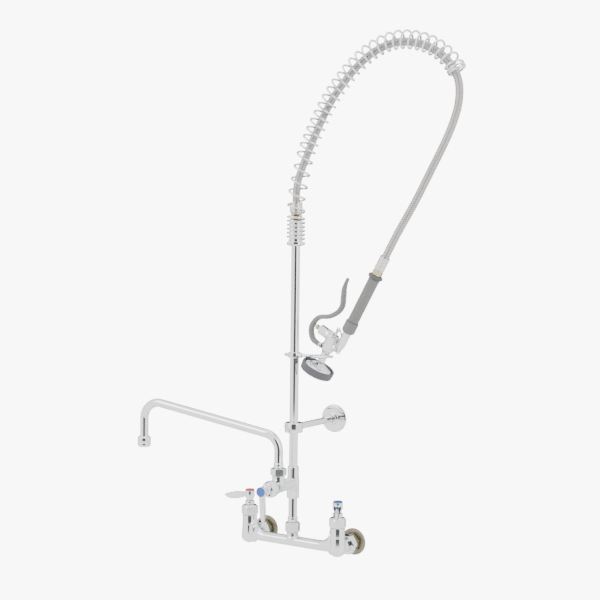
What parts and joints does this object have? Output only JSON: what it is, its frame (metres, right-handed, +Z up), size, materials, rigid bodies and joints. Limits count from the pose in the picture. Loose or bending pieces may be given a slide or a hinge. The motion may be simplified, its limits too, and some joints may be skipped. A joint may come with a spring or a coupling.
{
  "type": "pre rinse faucet",
  "caption": "Wall mounted pre rinse faucet with a spring overhead hose, a hooked spray valve with a squeeze lever, two handles and a swing nozzle.",
  "frame": {"origin": "midway between the two inlets, on the wall plane behind the inlet flanges", "axes": "+X along the bar from the hot side to the cold side, +Y into the wall, +Z up the riser"},
  "size_m": [0.6681, 0.2738, 1.0011],
  "materials": {
    "chrome": "polished chrome plate",
    "steel": "bright stainless steel",
    "braid": "corrugated stainless steel hose",
    "raw_brass": "raw brass, as cast and turned",
    "brass": "machined brass",
    "nickel": "dull nickel plate",
    "rubber": "black rubber",
    "grip": "grey moulded plastic",
    "lever": "grey plastic coated",
    "bumper": "dark grey rubber",
    "red": "red plastic disc",
    "blue": "blue plastic disc"
  },
  "bodies": {
    "faucet": {"base_body": "chrome", "hot_union_nut": "chrome", "cold_union_nut": "chrome", "hot_bonnet": "chrome", "cold_bonnet": "chrome", "hot_packing_nut": "chrome", "cold_packing_nut": "chrome", "lower_nipple": "chrome", "adf_body": "chrome", "adf_bonnet": "chrome", "riser_pipe": "chrome", "nozzle_nut": "chrome", "bracket_collar": "chrome", "bracket_screw_left": "chrome", "bracket_screw_front": "chrome", "bracket_rod": "chrome", "bracket_flange": "chrome", "hook_clamp": "chrome", "finger_hook": "chrome", "spring_seat": "chrome", "overhead_spring": "chrome", "flange_screw_left": "steel", "flange_screw_right": "steel", "hook_clamp_screw": "steel", "flex_hose": "braid", "hot_inlet_nipple": "raw_brass", "cold_inlet_nipple": "raw_brass", "hot_flange": "raw_brass", "cold_flange": "raw_brass", "hot_cartridge": "brass", "cold_cartridge": "brass", "lower_hose_fitting": "brass", "centre_swivel_nut": "nickel", "hot_inlet_washer": "rubber", "cold_inlet_washer": "rubber"},
    "hot_handle": {"hot_stem": "brass", "hot_lever": "chrome", "hot_index": "red"},
    "cold_handle": {"cold_stem": "brass", "cold_lever": "chrome", "cold_index": "blue"},
    "adf_handle": {"adf_stem": "brass", "adf_lever": "chrome", "adf_index": "blue"},
    "nozzle": {"swing_nozzle": "chrome", "nozzle_tip": "chrome", "nozzle_o_ring": "rubber"},
    "spray_valve": {"spray_body": "chrome", "spray_bonnet": "chrome", "lever_pin": "steel", "spray_grip": "grip", "grip_ring": "bumper", "grip_sleeve": "grip", "head_dome": "chrome", "bumper": "bumper", "spray_face": "steel", "upper_hose_fitting": "brass"},
    "squeeze_lever": {"spray_lever": "lever"},
    "push_stem": {"spray_stem": "brass"},
    "ring": {"hold_ring": "steel"}
  },
  "joints": [
    {"name": "hot_turn", "type": "hinge", "parent": "faucet", "child": "hot_handle", "pos_m": [-0.1016, -0.065, 0.07], "axis": [0, 0, 1], "range_deg": [0, 90]},
    {"name": "cold_turn", "type": "hinge", "parent": "faucet", "child": "cold_handle", "pos_m": [0.1016, -0.065, 0.07], "axis": [0, 0, 1], "range_deg": [-45, 45]},
    {"name": "adf_turn", "type": "hinge", "parent": "faucet", "child": "adf_handle", "pos_m": [0, -0.17, 0.1148], "axis": [0, -1, 0], "range_deg": [0, 90]},
    {"name": "nozzle_swing", "type": "hinge", "parent": "faucet", "child": "nozzle", "pos_m": [0, -0.118, 0.14], "axis": [0, 0, 1], "range_deg": [-20, 190]},
    {"name": "spray_unhook", "type": "slide", "parent": "faucet", "child": "spray_valve", "axis": [1, 0, 0], "range_m": [0, 0.06], "deforming": ["flex_hose"]},
    {"name": "lever_squeeze", "type": "hinge", "parent": "spray_valve", "child": "squeeze_lever", "pos_m": [0.06267, -0.065, 0.3876], "axis": [0, 1, 0], "range_deg": [0, 10], "stiffness_Nm_per_rad": 2, "springref_deg": -2.86},
    {"name": "stem_push", "type": "slide", "parent": "spray_valve", "child": "push_stem", "axis": [0.8763, 0, -0.4818], "range_m": [0, 0.0045]},
    {"name": "ring_swing", "type": "hinge", "parent": "spray_valve", "child": "ring", "pos_m": [0.09789, -0.065, 0.41845], "axis": [0, 1, 0], "range_deg": [-10, 10]}
  ],
  "couplings": [
    {"joint": "stem_push", "follows": "lever_squeeze", "m_per_rad": 0.025}
  ]
}
